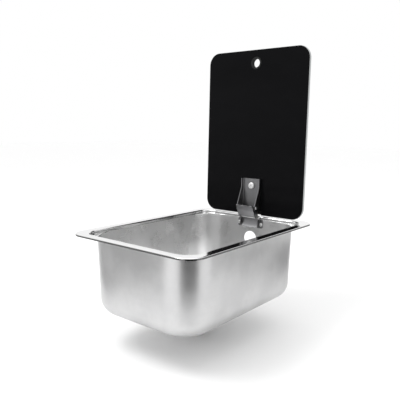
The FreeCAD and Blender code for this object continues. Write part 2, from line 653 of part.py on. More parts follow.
def pin(centre):
    """A headed pin right across the hinge, with its other end riveted over."""
    reach = CHEEK_OUT + PIN_PLAY
    start = V(-reach, centre[0], centre[1])
    run = V(2 * reach, 0, 0)
    shaft = rod(PIN_RADIUS, start, run)
    left = pan_head(PIN_HEAD_RADIUS, PIN_HEAD, start, X_AXIS)
    right = pan_head(PIN_HEAD_RADIUS, PIN_HEAD, start + run, X_AXIS * -1)
    return shaft.multiFuse([left, right]).removeSplitter().Solids[0]


def washers(centre):
    """Two nylon washers, one each side of the link."""
    pair = []
    gap = (SIDE_CLEAR - WASHER_THICK) / 2
    for side in (-1, 1):
        start = V(side * (LINK_WIDTH / 2 + gap), centre[0], centre[1])
        run = V(side * WASHER_THICK, 0, 0)
        pair.append(rod(WASHER_RADIUS, start, run).cut(rod(PIN_RADIUS + PIN_CLEAR, start, run)))
    return Part.makeCompound(pair)


def wall_bracket():
    """A base plate on the back wall with two cheeks for the wall pivot and a sloped web between them."""
    eye = to_wall(PIVOT)
    base = Part.makeBox(2 * BASE_HALF_WIDTH, HINGE_SHEET, BASE_BOTTOM - BASE_TOP, V(-BASE_HALF_WIDTH, -HINGE_SHEET, -BASE_BOTTOM))
    corners = [e for e in base.Edges if abs(e.tangentAt(e.FirstParameter).y) > 0.9]
    base = base.makeFillet(BASE_CORNER, corners)
    foot = (-WALL_CHEEK_FRONT, -BASE_BOTTOM + HINGE_SHEET)
    top = (-HINGE_SHEET / 2, -BASE_TOP)
    front = tangent_point(eye, EYE_RADIUS, foot, -1)
    rear = tangent_point(eye, EYE_RADIUS, top, 1)
    first = math.degrees(math.atan2(rear[1] - eye[1], rear[0] - eye[0]))
    last = math.degrees(math.atan2(front[1] - eye[1], front[0] - eye[0])) % 360
    outline = [(-HINGE_SHEET / 2, -BASE_BOTTOM + HINGE_SHEET), top]
    outline += arc_points(eye, EYE_RADIUS, first, last, 12)
    outline.append(foot)
    pieces = [base]
    for x in (CHEEK_IN, -CHEEK_OUT):
        pieces.append(side_prism(outline, x, x + HINGE_SHEET))
    low = -BASE_BOTTOM + HINGE_SHEET
    apron = [
        (-HINGE_SHEET / 2, -APRON_TOP), (-HINGE_SHEET / 2, -APRON_TOP - HINGE_SHEET),
        (-APRON_OUT, low), (-APRON_OUT - HINGE_SHEET, low),
    ]
    pieces.append(side_prism(apron, -CHEEK_IN, CHEEK_IN))
    whole = one_solid(pieces)
    bores = [rod(PIN_RADIUS + PIN_CLEAR, V(-CHEEK_OUT, eye[0], eye[1]), V(2 * CHEEK_OUT, 0, 0))]
    for side in (-1, 1):
        place = V(side * WALL_SCREW_SPAN / 2, -HINGE_SHEET, -WALL_SCREW_DROP)
        bores.append(rod(WALL_SCREW_RADIUS + SCREW_CLEAR, place, V(0, HINGE_SHEET, 0)))
    return wall_frame(whole.cut(bores).Solids[0])


def wall_screws():
    pair = []
    run = V(0, HINGE_SHEET + SHEET + BACK_PLATE + WALL_NUT + WALL_SCREW_PAST, 0)
    for side in (-1, 1):
        start = V(side * WALL_SCREW_SPAN / 2, -HINGE_SHEET, -WALL_SCREW_DROP)
        head = pan_head(WALL_HEAD_RADIUS, WALL_HEAD, start, Y_AXIS)
        pair.append(wall_frame(head.fuse(rod(WALL_SCREW_RADIUS, start, run)).removeSplitter().Solids[0]))
    return Part.makeCompound(pair)


def wall_back_plate():
    """The plate outside the back wall that spreads the hinge's load."""
    plate = Part.makeBox(2 * BASE_HALF_WIDTH, BACK_PLATE, 2 * BACK_PLATE_HALF_HEIGHT,
                         V(-BASE_HALF_WIDTH, SHEET, -WALL_SCREW_DROP - BACK_PLATE_HALF_HEIGHT))
    corners = [e for e in plate.Edges if abs(e.tangentAt(e.FirstParameter).y) > 0.9]
    plate = plate.makeFillet(BASE_CORNER, corners)
    for side in (-1, 1):
        place = V(side * WALL_SCREW_SPAN / 2, SHEET, -WALL_SCREW_DROP)
        plate = plate.cut(rod(WALL_SCREW_RADIUS + SCREW_CLEAR, place, V(0, BACK_PLATE, 0)))
    return wall_frame(plate.Solids[0])


def wall_nuts():
    pair = []
    run = V(0, WALL_NUT, 0)
    for side in (-1, 1):
        place = V(side * WALL_SCREW_SPAN / 2, SHEET + BACK_PLATE, -WALL_SCREW_DROP)
        pair.append(wall_frame(hexagon(WALL_NUT_ACROSS, place, run).cut(rod(WALL_SCREW_RADIUS + PIN_CLEAR, place, run)).Solids[0]))
    return Part.makeCompound(pair)


SUMP_TOP = FLOOR_TOP - SUMP_DEPTH
STRAINER_SEAT = SUMP_TOP + TOP_GASKET
STRAINER_LOW = STRAINER_SEAT - STRAINER_DROP
WASTE_TOP = SUMP_TOP - SHEET - LOW_GASKET


def flat_ring(outer, inner, low, height):
    return Part.makeCylinder(outer, height, V(0, 0, low)).cut(Part.makeCylinder(inner, height, V(0, 0, low))).Solids[0]


def top_gasket():
    return flat_ring(STRAINER_RADIUS, DRAIN_RADIUS, SUMP_TOP, TOP_GASKET)


def low_gasket():
    return flat_ring(WASTE_FLANGE_RADIUS, DRAIN_RADIUS, WASTE_TOP, LOW_GASKET)


def strainer():
    """A pressed cup with a flange on the gasket and rings of drain holes in its floor."""
    t = STRAINER_SHEET
    points = [
        (0, STRAINER_LOW), (STRAINER_CUP_FLOOR, STRAINER_LOW), (STRAINER_CUP_RADIUS, STRAINER_SEAT),
        (STRAINER_RADIUS, STRAINER_SEAT), (STRAINER_RADIUS, STRAINER_SEAT + t / 2), (STRAINER_RADIUS - t / 2, STRAINER_SEAT + t),
        (STRAINER_CUP_RADIUS - t, STRAINER_SEAT + t), (STRAINER_CUP_FLOOR - t, STRAINER_LOW + t), (0, STRAINER_LOW + t),
    ]
    cup = revolved(points)
    holes = [Part.makeCylinder(WASTE_SCREW_RADIUS + SCREW_CLEAR, t, V(0, 0, STRAINER_LOW))]
    rings = ((STRAINER_INNER_RING, STRAINER_INNER_HOLES), (STRAINER_OUTER_RING, STRAINER_OUTER_HOLES))
    for reach, count in rings:
        for i in range(count):
            a = 2 * math.pi * i / count
            holes.append(Part.makeCylinder(STRAINER_HOLE_RADIUS, t, V(reach * math.cos(a), reach * math.sin(a), STRAINER_LOW)))
    return cup.cut(holes).Solids[0]


def waste_levels():
    """Heights of the waste: boss top under the strainer, cup floor, cone end and pipe end."""
    cup_floor = WASTE_TOP - WASTE_CUP_DEPTH
    cone_end = cup_floor - WASTE_CONE
    return cup_floor, cone_end, cone_end - WASTE_PIPE


def waste_body():
    """A moulded cup, hung under the floor, that narrows to the outlet pipe; three arms hold the screw boss."""
    cup_floor, cone_end, low = waste_levels()
    inside = WASTE_CUP_RADIUS - WASTE_WALL
    bore = WASTE_PIPE_RADIUS - WASTE_PIPE_WALL
    points = [
        (inside, WASTE_TOP), (WASTE_FLANGE_RADIUS, WASTE_TOP), (WASTE_FLANGE_RADIUS, WASTE_TOP - WASTE_FLANGE),
        (WASTE_CUP_RADIUS, WASTE_TOP - WASTE_FLANGE), (WASTE_CUP_RADIUS, cup_floor), (WASTE_PIPE_RADIUS, cone_end),
        (WASTE_PIPE_RADIUS, low), (bore, low), (bore, cone_end + WASTE_WALL), (inside, cup_floor + WASTE_WALL),
    ]
    pieces = [revolved(points)]
    top = STRAINER_LOW
    pieces.append(Part.makeCylinder(BOSS_RADIUS, BOSS_HEIGHT, V(0, 0, top - BOSS_HEIGHT)))
    for i in range(3):
        arm = Part.makeBox(inside + WASTE_WALL / 2, ARM_WIDTH, BOSS_HEIGHT / 2, V(0, -ARM_WIDTH / 2, top - BOSS_HEIGHT))
        arm.rotate(V(0, 0, 0), Z_AXIS, 120 * i + 90)
        pieces.append(arm)
    whole = one_solid(pieces)
    return whole.cut(Part.makeCylinder(WASTE_SCREW_RADIUS + PIN_CLEAR, BOSS_HEIGHT, V(0, 0, top - BOSS_HEIGHT))).Solids[0]


def waste_screw():
    start = V(0, 0, STRAINER_LOW + STRAINER_SHEET)
    down = V(0, 0, -1)
    head = pan_head(WASTE_HEAD_RADIUS, WASTE_HEAD, start, down)
    shaft = rod(WASTE_SCREW_RADIUS, start, down * (STRAINER_SHEET + BOSS_HEIGHT + WASTE_SCREW_PAST))
    return head.fuse(shaft).removeSplitter().Solids[0]


PIECES = {
    "basin": basin,
    "rim_seal": rim_seal,
    "corner_pad_front_left": lambda: corner_pad(-1, -1),
    "corner_pad_front_right": lambda: corner_pad(1, -1),
    "corner_pad_back_left": lambda: corner_pad(-1, 1),
    "corner_pad_back_right": lambda: corner_pad(1, 1),
    "lid_glass": lid_glass,
    "hinge_cover": hinge_cover,
    "finger_ring": finger_ring,
    "lid_bracket": lid_bracket,
    "lid_gasket": lid_gasket,
    "lid_screw": lid_screw,
    "lid_sleeve": lid_sleeve,
    "lid_back_washer": lid_back_washer,
    "lid_cap_nut": lid_cap_nut,
    "hinge_link": hinge_link,
    "knee_pin": lambda: pin(KNEE),
    "knee_washers": lambda: washers(KNEE),
    "wall_pin": lambda: pin(PIVOT),
    "wall_pin_washers": lambda: washers(PIVOT),
    "wall_bracket": wall_bracket,
    "wall_screws": wall_screws,
    "wall_back_plate": wall_back_plate,
    "wall_nuts": wall_nuts,
    "strainer": strainer,
    "strainer_gasket": top_gasket,
    "waste_gasket": low_gasket,
    "waste_body": waste_body,
    "waste_screw": waste_screw,
}

os.makedirs("parts", exist_ok=True)
for name, make in PIECES.items():
    shape = make()
    shape.exportStep("parts/" + name + ".step")
    valid = "valid" if shape.isValid() else "NOT VALID"
    print(name, len(shape.Solids), "solids", round(shape.Volume, 1), "mm3", valid)
print("knee", KNEE, "pivot", PIVOT, "link turn", math.degrees(LINK_TURN))
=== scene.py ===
"""Camper sink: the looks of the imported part, in the part's own frame.

The pieces' sizes are in millimetres and become metres in their meshes. The studio is in metres.
"""

import json
import math

import bmesh
import bpy
import numpy as np
from mathutils import Matrix, Vector


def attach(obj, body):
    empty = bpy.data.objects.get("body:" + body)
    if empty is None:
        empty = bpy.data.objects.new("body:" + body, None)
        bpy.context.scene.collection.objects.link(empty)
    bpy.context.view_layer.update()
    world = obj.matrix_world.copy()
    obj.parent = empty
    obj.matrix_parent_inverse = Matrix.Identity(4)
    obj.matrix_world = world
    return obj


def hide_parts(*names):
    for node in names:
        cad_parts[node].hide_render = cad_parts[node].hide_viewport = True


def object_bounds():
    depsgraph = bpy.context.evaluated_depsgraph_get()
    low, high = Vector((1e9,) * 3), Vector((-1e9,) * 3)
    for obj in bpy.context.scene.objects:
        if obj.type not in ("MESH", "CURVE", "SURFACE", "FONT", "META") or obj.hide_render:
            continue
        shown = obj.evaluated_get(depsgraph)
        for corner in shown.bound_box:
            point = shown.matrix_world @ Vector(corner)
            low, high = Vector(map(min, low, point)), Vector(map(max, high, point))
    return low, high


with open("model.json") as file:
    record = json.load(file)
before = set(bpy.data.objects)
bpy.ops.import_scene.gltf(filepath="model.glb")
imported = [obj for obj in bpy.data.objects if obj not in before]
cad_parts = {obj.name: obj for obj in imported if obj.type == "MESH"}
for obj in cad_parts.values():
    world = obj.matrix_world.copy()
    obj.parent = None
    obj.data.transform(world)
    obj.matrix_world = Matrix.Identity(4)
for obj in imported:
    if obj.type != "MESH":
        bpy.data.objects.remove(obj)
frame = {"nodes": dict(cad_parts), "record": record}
cad_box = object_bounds()
nodes = frame["nodes"]

MM = 0.001

# Basin outlines: half width, half length, plan corner
FLANGE = (140.0, 190.0, 30.0)
MOUTH = (122.6, 172.6, 28.0)           # the opening's wall at the flange top
WALL = (122.2, 172.2, 62.2)            # the bowl's inner wall, carried up to the flange top

# Basin section
SHEET = 0.8
RIM_HEIGHT = 3.5
LIP_CLEAR = 0.3
RIM_ROUND = 2.0
MOUTH_ROUND = 3.0
FLAT_RUN = 2.0                         # level stretch kept beside a round
BOWL_DEPTH = 145.0
DRAFT = math.radians(2.0)
BOTTOM_ROUND = 30.0
SUMP_RADIUS = 42.0
SUMP_SLOPE = 5.0
SUMP_DEPTH = 4.0
SUMP_ROUND = 2.0
DRAIN_RADIUS = 30.0
OVERFLOW_RADIUS = 15.0
OVERFLOW_DROP = 49.0

# Corner seats, with the rows across their step: share of the way from opening to bowl, height over the seat
SEAT_DEPTH = 6.5
SEAT_ABOVE = 1.0                       # the opening's wall ends this far above the seat
SEAT_BELOW = 1.2                       # the bowl's wall starts this far below it
SEAT_SHARE = np.array([0.0, 0.02, 0.06, 0.12, 0.3, 0.5, 0.7, 0.88, 0.94, 0.98, 1.0])
SEAT_RISE = np.array([0.9, 0.4, 0.12, 0.02, 0.01, 0.0, -0.01, -0.02, -0.14, -0.45, -1.0])

# Glass lid
LID_HALF = (120.0, 169.5, 25.0)        # half width, half length, corner
LID_THICK = 5.0
LID_ARRIS = 0.6
ARRIS_BEND = 0.3                       # the arris's middle row, as a share of its width
FACE_RING = 30.0                       # the faces' inner rows lie this far inside the edge
LEAST_CORNER = 4.0
LID_TILT = math.radians(1.0)
LID_EDGE = (172.6, 5.5)                # lower front edge, y and z
NOTCH = (24.5, 10.5, 3.0)              # hinge cut-out: half width, depth, corner
FACE_COSINE = 0.98                     # faces whose normal is this near the glass's own are polished

# Finger ring
FINGER_UP = 312.0
FINGER_BORE = 10.6
RING_CLEAR = 8.75
RING_WAIST = 10.5
RING_LIP = 12.5
RING_PROUD = 1.2
RING_BEVEL = 0.6
RING_ROUNDS = (0.5, 0.3)

# Screws: radius and height of the head, radius and length of the shank
LID_SCREW = (7.0, 3.2, 2.5, 12.3)
LID_SCREW_UP = 61.0
LID_SCREW_BORE = 4.8
LID_GASKET = 0.8
WALL_SCREW = (3.8, 2.2, 2.0, 7.7)
WALL_SCREW_X = 26.5
WALL_SCREW_DROP = 17.0
WALL_SCREW_BORE = 2.2
HINGE_SHEET = 1.5
HEAD_ROUND = 0.6                       # of the head's height
TIP_ROUND = 0.2
RECESS_TURN = 0.6                      # radians
RECESS_HALF = (0.58, 0.11)             # half length and half width, of the head's radius
RECESS_TAPER = 0.7
RECESS_START = 1.0                     # its cutter starts this far before the head
RECESS_FLOOR = 0.45                    # of the head's height

# Broken edges: the hinge plates' bodies and edge widths, and the pins' edge width
HINGE_PLATES = (("lid_bracket", "lid", 0.6), ("hinge_link", "link", 0.6), ("wall_bracket", "basin", 0.4))
PIN_EDGE = 0.25

# Meshes
ROUND_STEPS = 10
BOTTOM_STEPS = 16
DISH_STEPS = 8
SHARP = 0.01                           # round of a corner that looks sharp
POLE = 0.02                            # least radius of a turned profile
CUT_PAST = 4.0                         # cutters reach this far past a face
WALL_CUT = 6.0                         # and this far behind the wall's inner face
DOUBLES = 0.001                        # corners nearer than this are one
FLAT_WITHIN = math.radians(0.5)        # faces that differ by less are one
EDGE_FROM = math.radians(40)           # edges sharper than this are broken
EDGE_STEPS = 2

# Finish of the sheet, with its painted light and painted shade
PAINTED_LIGHT_FACING_UP = 0.5                        # faces whose normal rises more than this have the bowl's satin, painted brighter as painted light
POLISH_FADE = 0.6                      # height over which satin turns into polish
POLISH_ROUGH = 0.09
POLISH_GREY = 0.86
# painted shade: the lip's dark grey stands in for its shade and dark reflections
LIP_PAINTED_SHADE_GREY = 0.16
LIP_PAINTED_SHADE_BAND = (0.9, 0.2)                  # the lip's painted shade starts and is full this far inside the outline

# Colour sockets of a Mix node: share, first, second, result
MIX_SHARE, MIX_FIRST, MIX_SECOND, MIX_RESULT = 0, 6, 7, 2

# Floor and boards of the studio
FLOOR_GAP = 0.0005
FLOOR = cad_box[0][2] - FLOOR_GAP
FLOOR_HALF = 9
BOARD_ROUGH = 0.9
BOARD_CLOUD = 0.985                    # the darker clouds of a board, as a share of its colour

# Boards seen only in reflections: degrees from +X, distance, width, lower and upper edge over the floor, grey
BOARDS = (
    ("near_board_left", 228, 0.42, 0.6, 0.001, 0.12, 0.5),
    ("far_board_left", 231, 0.75, 1.1, 0.001, 0.19, 0.55),
    ("near_board_right", 45, 0.45, 0.6, 0.001, 0.1, 0.45),
    ("far_board_right", 51, 0.75, 1.1, 0.001, 0.19, 0.8),
    ("board_behind_camera", 318, 1.3, 0.9, 0.2, 1.2, 0.08),
    ("tall_board_right", 50, 1.2, 0.9, 0.2, 0.9, 0.4),
    ("board_by_camera", 315, 0.38, 0.24, 0.03, 0.25, 0.01),
)

# Lamps: place, the point that they shine at, width, power
LAMPS = (
    ("key_front_left", (-0.5, -0.65, 1.3), (0, 0.05, -0.05), 0.9, 11.0),
    ("top", (0.1, 0.0, 1.35), (0, 0, 0), 1.2, 3.0),
)

# Camera: its place, and in degrees the bearing of its back from +X, its tip downwards and its roll
CAMERA_PLACE = (0.57179, -0.70378, 0.18857)
CAMERA_BEARING = -50.912
CAMERA_TIP = 8.403
CAMERA_ROLL = 0.589
CAMERA_LENS = 44.82
CAMERA_SENSOR = 36.0
CAMERA_CLIP = 0.01


# Surfaces

def rounded(points, radii, steps):
    """A polyline in two coordinates whose inner corners are arcs.

    Each arc starts and ends radius / tan(half the corner angle) from its corner, in even steps of angle.
    """
    points = np.asarray(points, float)
    out = [points[:1]]
    for before, corner, after, radius in zip(points, points[1:], points[2:], radii):
        back = (before - corner) / np.linalg.norm(before - corner)
        ahead = (after - corner) / np.linalg.norm(after - corner)
        half = math.acos(np.clip(back @ ahead, -1, 1)) / 2
        middle = back + ahead
        centre = corner + middle / np.linalg.norm(middle) * radius / math.sin(half)
        start = corner + back * radius / math.tan(half) - centre
        side = corner - centre
        side = side / np.linalg.norm(side)
        normal = start / np.linalg.norm(start)
        across = side - normal * (side @ normal)
        across = across / np.linalg.norm(across)
        turn = np.linspace(0, math.pi - 2 * half, steps)[:, None]
        out.append(centre + radius * (np.cos(turn) * normal + np.sin(turn) * across))
    out.append(points[-1:])
    return np.concatenate(out)


def loops(half_x, half_y, corner, z, around=28, along=(18, 26)):
    """Rounded rectangles, one per row, as an array of rows by columns by three.

    At a corner, x is the corner's centre plus its radius times the cosine of the turn, and y the same with
    the sine. The straight sides are even steps between neighbouring corners.
    """
    half_x, half_y, corner, z = (np.asarray(v, float).reshape(-1, 1) for v in (half_x, half_y, corner, z))
    corners = []
    for k, (sign_x, sign_y) in enumerate(((1, 1), (-1, 1), (-1, -1), (1, -1))):
        turn = np.linspace(k, k + 1, around)[None, :] * math.pi / 2
        x = sign_x * (half_x - corner) + corner * np.cos(turn)
        y = sign_y * (half_y - corner) + corner * np.sin(turn)
        corners.append(np.stack([x, y], -1))
    stretches = []
    for k in range(4):
        start = corners[k][:, -1:]
        end = corners[(k + 1) % 4][:, :1]
        share = np.linspace(0, 1, along[k % 2] + 1)[1:-1][None, :, None]
        stretches += [corners[k], start + (end - start) * share]
    flat = np.concatenate(stretches, 1)
    return np.concatenate([flat, np.broadcast_to(z[:, :, None], flat.shape[:2] + (1,))], -1)


def circles(radius, z, angles):
    """Circles, one per row, with x = radius times cosine and y = radius times sine at the given angles."""
    radius, z = (np.asarray(v, float).reshape(-1, 1) for v in (radius, z))
    ones = np.ones_like(angles)[None, :]
    return np.stack([radius * np.cos(angles), radius * np.sin(angles), z * ones], -1)


def turned_rows(profile, columns=64):
    """A profile of (radius, height) carried round the Y axis: x is radius cosine, z radius sine, y height."""
    angles = np.linspace(0, 2 * math.pi, columns, endpoint=False)
    return circles(profile[:, 0], profile[:, 1], angles)[..., [0, 2, 1]]


def grid_faces(rows, columns, wrap_rows):
    """Quads of a grid whose columns close on themselves, and whose rows may."""
    r = np.arange(rows if wrap_rows else rows - 1)[:, None]
    c = np.arange(columns)[None, :]
    up = (r + 1) % rows
    on = (c + 1) % columns
    quads = [r * columns + c, r * columns + on, up * columns + on, up * columns + c]
    return np.stack(quads, -1).reshape(-1, 4)


def volume(points, faces):
    """Six times a quad mesh's signed volume: the sum of its triangles' triple products."""
    a, b, c, d = (points[faces[:, i]] for i in range(4))
    return (np.cross(a, b) * c).sum() + (np.cross(a, c) * d).sum()


def mesh_object(name, points, faces, caps=()):
    """A mesh from points in millimetres, with its faces turned outwards."""
    if volume(points, faces) < 0:
        faces = faces[:, ::-1]
        caps = [list(reversed(c)) for c in caps]
    mesh = bpy.data.meshes.new(name)
    mesh.from_pydata((points * MM).tolist(), [], faces.tolist() + [list(c) for c in caps])
    mesh.update()
    mesh.shade_smooth()
    obj = bpy.data.objects.new(name, mesh)
    bpy.context.scene.collection.objects.link(obj)
    return obj


def tube_object(name, rows, wrap_rows=True):
    """A grid of closed loops; unwrapped grids get a flat cap at both ends."""
    count, columns = rows.shape[:2]
    points = rows.reshape(-1, 3)
    faces = grid_faces(count, columns, wrap_rows)
    if wrap_rows:
        return mesh_object(name, points, faces)
    first = list(range(columns - 1, -1, -1))
    last = list(range((count - 1) * columns, count * columns))
    return mesh_object(name, points, faces, (first, last))


def lean(points, angle, origin):
    """Turns points about X by an angle and moves them to an origin given as (y, z)."""
    c, s = math.cos(angle), math.sin(angle)
    y, z = points[..., 1], points[..., 2]
    return np.stack([points[..., 0], c * y - s * z + origin[0], s * y + c * z + origin[1]], -1)


def on_wall(points):
    """From a flat upright wall, its origin at the flange top, to the basin's back wall."""
    return lean(points, -DRAFT, (WALL[1], RIM_HEIGHT))


def on_lid(points):
    """From an upright lid, its lower front edge at the origin, to the open lid."""
    return lean(points, -LID_TILT, LID_EDGE)


def cut(obj, *cutters):
    """Takes the cutters out of a mesh and drops them."""
    for cutter in cutters:
        step = obj.modifiers.new("cut", "BOOLEAN")
        step.operation = "DIFFERENCE"
        step.solver = "EXACT"
        step.object = cutter
    bpy.context.view_layer.update()
    fresh = bpy.data.meshes.new_from_object(obj.evaluated_get(bpy.context.evaluated_depsgraph_get()))
    obj.modifiers.clear()
    obj.data = fresh
    for cutter in cutters:
        bpy.data.objects.remove(cutter)
    return obj


def bore(name, radius, behind, place, put):
    """A cylinder along y, from just before the face at y = 0 to a depth behind it."""
    rows = turned_rows(np.array([(radius, -CUT_PAST), (radius, behind)])) + np.array(place)
    return tube_object(name, put(rows), False)


def crease(obj, degrees):
    """Smooth shading that breaks at edges sharper than an angle."""
    obj.data.shade_smooth()
    obj.data.set_sharp_from_angle(angle=math.radians(degrees))
    return obj


def basin_rows():
    """The sheet's closed section: lip, flange, opening, seat, bowl and drain, and back underneath.

    Between opening and bowl a row's half sizes and corner are opening + share * (bowl - opening). The share
    goes from 0 to 1 at seat height, so the step is narrow along the sides and a seat in each corner.
    """
    slope = math.tan(DRAFT)
    low = RIM_HEIGHT - BOWL_DEPTH
    seat = RIM_HEIGHT - SEAT_DEPTH
    outer_wall = SHEET / math.cos(DRAFT)
    floor_edge = -BOWL_DEPTH * slope - BOTTOM_ROUND - FLAT_RUN
    sump_edge = SUMP_RADIUS + SUMP_SLOPE

    def flange_edge(out, down, edge_round):
        """The lip and the round above it, on one face of the sheet."""
        top = RIM_HEIGHT - down
        points = [(out, LIP_CLEAR), (out, top), (-RIM_ROUND - FLAT_RUN, top)]
        section = rounded(points, [edge_round], ROUND_STEPS)
        return loops(*(FLANGE[i] + section[:, 0] for i in range(3)), section[:, 1])

    def bowl_side(out, down, mouth_round, bottom_round):
        """The opening, seat and bowl of one face of the sheet, out and down from the inner face."""
        top = RIM_HEIGHT - down
        end = low + SHEET - down
        mouth = rounded(
            [(MOUTH_ROUND + SHEET, top),
             (out - down * slope, top),
             (out - (SEAT_DEPTH - SEAT_ABOVE) * slope, seat + SEAT_ABOVE - down)],
            [mouth_round], ROUND_STEPS)
        bowl = rounded(
            [(out - (SEAT_DEPTH + SEAT_BELOW) * slope, seat - SEAT_BELOW - down),
             (out - (RIM_HEIGHT - end) * slope, end),
             (floor_edge, end)],
            [bottom_round], BOTTOM_STEPS)
        step = np.column_stack([out - (SEAT_DEPTH - SEAT_RISE) * slope, seat + SEAT_RISE - down])
        section = np.concatenate([mouth, step, bowl])
        share = np.concatenate([np.zeros(len(mouth)), SEAT_SHARE, np.ones(len(bowl))])
        sizes = (MOUTH[i] + share * (WALL[i] - MOUTH[i]) + section[:, 0] for i in range(3))
        return loops(*sizes, section[:, 1])

    top = np.concatenate([flange_edge(0, 0, RIM_ROUND), bowl_side(0, 0, MOUTH_ROUND, BOTTOM_ROUND - SHEET)])
    under = np.concatenate([flange_edge(-SHEET, SHEET, RIM_ROUND - SHEET),
                            bowl_side(outer_wall, SHEET, MOUTH_ROUND - SHEET, BOTTOM_ROUND)])
    dish = rounded(
        [(sump_edge + SUMP_ROUND, 0), (sump_edge, 0),
         (SUMP_RADIUS, -SUMP_DEPTH), (DRAIN_RADIUS, -SUMP_DEPTH)],
        [SUMP_ROUND, SUMP_ROUND], DISH_STEPS)
    angles = np.unwrap(np.arctan2(top[-1, :, 1], top[-1, :, 0]))
    dish_top = circles(dish[:, 0], dish[:, 1] + low + SHEET, angles)
    dish_under = circles(dish[:, 0], dish[:, 1] + low, angles)
    return np.concatenate([top, dish_top, dish_under[::-1], under[::-1]])


def lid_rows():
    """Rounded rectangles on the lid: the front's ring, its ground arris, the edge, and the back likewise."""
    bend = LID_ARRIS * ARRIS_BEND
    offset = np.array([FACE_RING, LID_ARRIS, bend, 0])
    depth = np.array([0, 0, bend, LID_ARRIS])
    offset = np.concatenate([offset, offset[::-1]])
    depth = np.concatenate([depth, LID_THICK - depth[::-1]])
    corner = np.maximum(LID_HALF[2] - offset, LEAST_CORNER)
    rows = loops(LID_HALF[0] - offset, LID_HALF[1] - offset, corner, depth)
    return on_lid(rows[..., [0, 2, 1]] + np.array([0, 0, LID_HALF[1]]))


def lid_notch():
    """A prism with round corners, centred on the lid's lower edge and right through the glass."""
    ends = [-CUT_PAST, LID_THICK + CUT_PAST]
    rows = loops(*([value, value] for value in NOTCH), ends, around=8, along=(4, 4))
    return tube_object("notch_cutter", on_lid(rows[..., [0, 2, 1]]), False)


def ring_rows():
    """The finger ring's section, a waist between two lips, carried round; the back mirrors the front."""
    front = np.array([(RING_CLEAR, -RING_PROUD), (RING_LIP - RING_BEVEL, -RING_PROUD),
                      (RING_LIP, RING_BEVEL - RING_PROUD), (RING_LIP, 0), (RING_WAIST, 0)])
    back = front[::-1] * np.array([1, -1]) + np.array([0, LID_THICK])
    rounds = [*RING_ROUNDS, SHARP, SHARP]
    profile = rounded(np.concatenate([front, back]), rounds + rounds[::-1], steps=5)
    return on_lid(turned_rows(profile, columns=96) + np.array([0, 0, FINGER_UP]))


def screw_head(name, size, place, put):
    """A domed head on a shank with a crossed recess, its seat at y = 0 and its face towards -y.

    Head and shank are a profile turned round the Y axis. The recess is two tapered bars at right angles.
    """
    radius, height, shank, length = size
    profile = rounded(
        [(POLE, -height), (radius, -height), (radius, 0), (shank, 0), (shank, length), (POLE, length)],
        [HEAD_ROUND * height, SHARP, SHARP, TIP_ROUND], steps=8)
    head = tube_object(name, put(turned_rows(profile, columns=48) + np.array(place)), False)
    bars = []
    for turn in (RECESS_TURN, RECESS_TURN + math.pi / 2):
        c, s = math.cos(turn), math.sin(turn)
        bar = np.array([[-1, -1], [1, -1], [1, 1], [-1, 1]]) * np.array(RECESS_HALF) * radius
        bar = bar @ np.array([[c, s], [-s, c]])
        mouth = np.insert(bar, 1, -height - RECESS_START, axis=1)
        end = np.insert(bar * RECESS_TAPER, 1, -height * RECESS_FLOOR, axis=1)
        bars.append(tube_object(name + "_slot", put(np.stack([mouth, end]) + np.array(place)), False))
    return crease(cut(head, *bars), degrees=32)


def softened(name, width, edge_slot=-1):
    """A node's own shape with its doubled corners merged and its edges slightly broken."""
    mesh = nodes[name].data.copy()
    mesh.materials.clear()
    work = bmesh.new()
    work.from_mesh(mesh)
    bmesh.ops.remove_doubles(work, verts=work.verts, dist=DOUBLES * MM)
    bmesh.ops.dissolve_limit(work, angle_limit=FLAT_WITHIN, verts=work.verts, edges=work.edges)
    work.to_mesh(mesh)
    work.free()
    if "custom_normal" in mesh.attributes:
        mesh.attributes.remove(mesh.attributes["custom_normal"])
    mesh.shade_smooth()
    obj = bpy.data.objects.new(name + "_finish", mesh)
    bpy.context.scene.collection.objects.link(obj)
    bevel = obj.modifiers.new("broken edge", "BEVEL")
    bevel.width = width * MM
    bevel.segments = EDGE_STEPS
    bevel.limit_method = "ANGLE"
    bevel.angle_limit = EDGE_FROM
    bevel.harden_normals = True
    bevel.material = edge_slot
    return obj


# Shader maths

def add_node(tree, kind, settings, sockets):
    """A new shader node: its settings first, then a value or a wire for each socket."""
    node = tree.nodes.new(kind)
    for key, value in settings.items():
        setattr(node, key, value)
    for key, value in sockets.items():
        if isinstance(value, Wire):
            tree.links.new(value.socket, node.inputs[key])
        else:
            node.inputs[key].default_value = value
    return node


class Wire:
    """A shader socket that can be added, multiplied and so on; each step is one Math node."""

    def __init__(self, tree, socket):
        self.tree = tree
        self.socket = socket

    def made(self, operation, *values):
        """The result of a Math node on the given values."""
        node = add_node(self.tree, "ShaderNodeMath", {"operation": operation}, dict(enumerate(values)))
        return Wire(self.tree, node.outputs[0])

    def __add__(self, other):
        return self.made("ADD", self, other)

    def __radd__(self, other):
        return self.made("ADD", other, self)

    def __sub__(self, other):
        return self.made("SUBTRACT", self, other)

    def __rsub__(self, other):
        return self.made("SUBTRACT", other, self)

    def __mul__(self, other):
        return self.made("MULTIPLY", self, other)

    def __rmul__(self, other):
        return self.made("MULTIPLY", other, self)

    def __truediv__(self, other):
        return self.made("DIVIDE", self, other)

    def __rtruediv__(self, other):
        return self.made("DIVIDE", other, self)

    def step(self, low, high):
        """0 below low, 1 above high, smooth between."""
        t = self.made("MINIMUM", self.made("MAXIMUM", (self - low) / (high - low), 0.0), 1.0)
        return t * t * (3.0 - 2.0 * t)

    def past(self, half):
        """How far a coordinate lies beyond a half size on either side, and never below 0."""
        return self.made("MAXIMUM", self.made("ABSOLUTE", self) - half, 0.0)

    def root(self):
        """The square root."""
        return self.made("SQRT", self)


